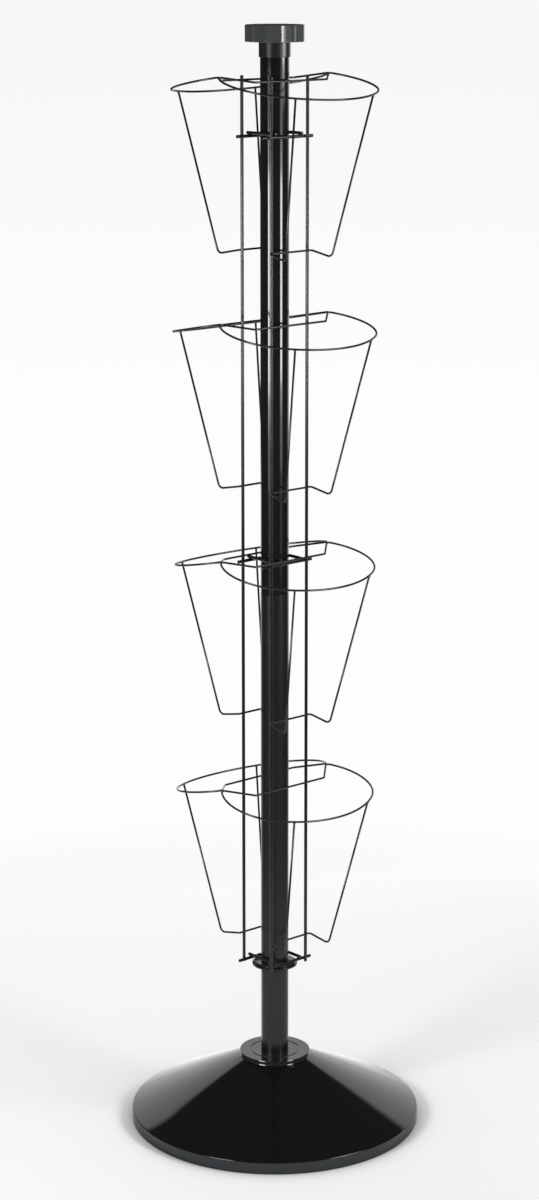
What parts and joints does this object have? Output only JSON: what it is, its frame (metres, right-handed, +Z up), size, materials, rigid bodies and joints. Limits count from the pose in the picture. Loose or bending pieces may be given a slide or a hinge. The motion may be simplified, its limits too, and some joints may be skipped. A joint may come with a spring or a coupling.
{
  "type": "rotating magazine rack",
  "caption": "Floor-standing rotating magazine rack: weighted cone foot, two-piece pole with a ribbed cap, and a welded wire carousel with two columns of tiered wire pockets back to back.",
  "frame": {"origin": "on the floor at the middle of the foot, on the pole's axis", "axes": "+Z up along the pole; X along the carousel's two panels; the front column of pockets faces -Y and the back column +Y"},
  "size_m": [0.4, 0.4, 1.5059],
  "materials": {
    "foot_gloss_black": "gloss black paint on a spun steel cone",
    "collar_gloss_black": "gloss black enamel with a fine orange-peel texture",
    "pole_upper_black": "gloss black enamel on steel tube",
    "pole_lower_black": "black enamel on steel tube, a little duller than the upper tube",
    "seat_black": "gloss black enamel",
    "frame_wire_black": "black powder coat, semi-gloss",
    "pocket_wire_black": "black powder coat, semi-gloss, thin",
    "cap_plastic": "charcoal moulded plastic, semi-matte",
    "slip_plastic": "black slippery plastic",
    "foot_rubber": "matt black rubber",
    "ballast_iron": "rough cast iron",
    "bare_steel": "zinc-plated steel"
  },
  "bodies": {
    "stand": {"foot_pads": "foot_rubber", "base_ballast": "ballast_iron", "base_cover": "foot_gloss_black", "base_spacer": "bare_steel", "base_bolt": "bare_steel", "base_washer": "bare_steel", "base_collar": "collar_gloss_black", "pole_foot_plug": "bare_steel", "pole_lower_tube": "pole_lower_black", "pole_coupler": "bare_steel", "pole_upper_tube": "pole_upper_black", "turning_seat": "seat_black", "slip_washer": "slip_plastic", "pole_top_plug": "bare_steel", "cap_stud": "bare_steel", "top_cap": "cap_plastic"},
    "carousel": {"upright_front_left": "frame_wire_black", "upright_front_right": "frame_wire_black", "upright_back_left": "frame_wire_black", "upright_back_right": "frame_wire_black", "cross_wire_front_low": "frame_wire_black", "cross_wire_front_mid": "frame_wire_black", "cross_wire_front_top": "frame_wire_black", "cross_wire_back_low": "frame_wire_black", "cross_wire_back_mid": "frame_wire_black", "cross_wire_back_top": "frame_wire_black", "link_bar_left_low": "frame_wire_black", "link_bar_left_mid": "frame_wire_black", "link_bar_left_top": "frame_wire_black", "link_bar_right_low": "frame_wire_black", "link_bar_right_mid": "frame_wire_black", "link_bar_right_top": "frame_wire_black", "ring_front_1": "pocket_wire_black", "ring_front_2": "pocket_wire_black", "ring_front_3": "pocket_wire_black", "ring_front_4": "pocket_wire_black", "ring_back_1": "pocket_wire_black", "ring_back_2": "pocket_wire_black", "ring_back_3": "pocket_wire_black", "ring_back_4": "pocket_wire_black", "cradle_front_1": "pocket_wire_black", "cradle_front_2": "pocket_wire_black", "cradle_front_3": "pocket_wire_black", "cradle_front_4": "pocket_wire_black", "cradle_back_1": "pocket_wire_black", "cradle_back_2": "pocket_wire_black", "cradle_back_3": "pocket_wire_black", "cradle_back_4": "pocket_wire_black"}
  },
  "joints": [
    {"name": "carousel_spin", "type": "hinge", "parent": "stand", "child": "carousel", "pos_m": [0, 0, 0.2303], "axis": [0, 0, 1], "continuous": true}
  ]
}
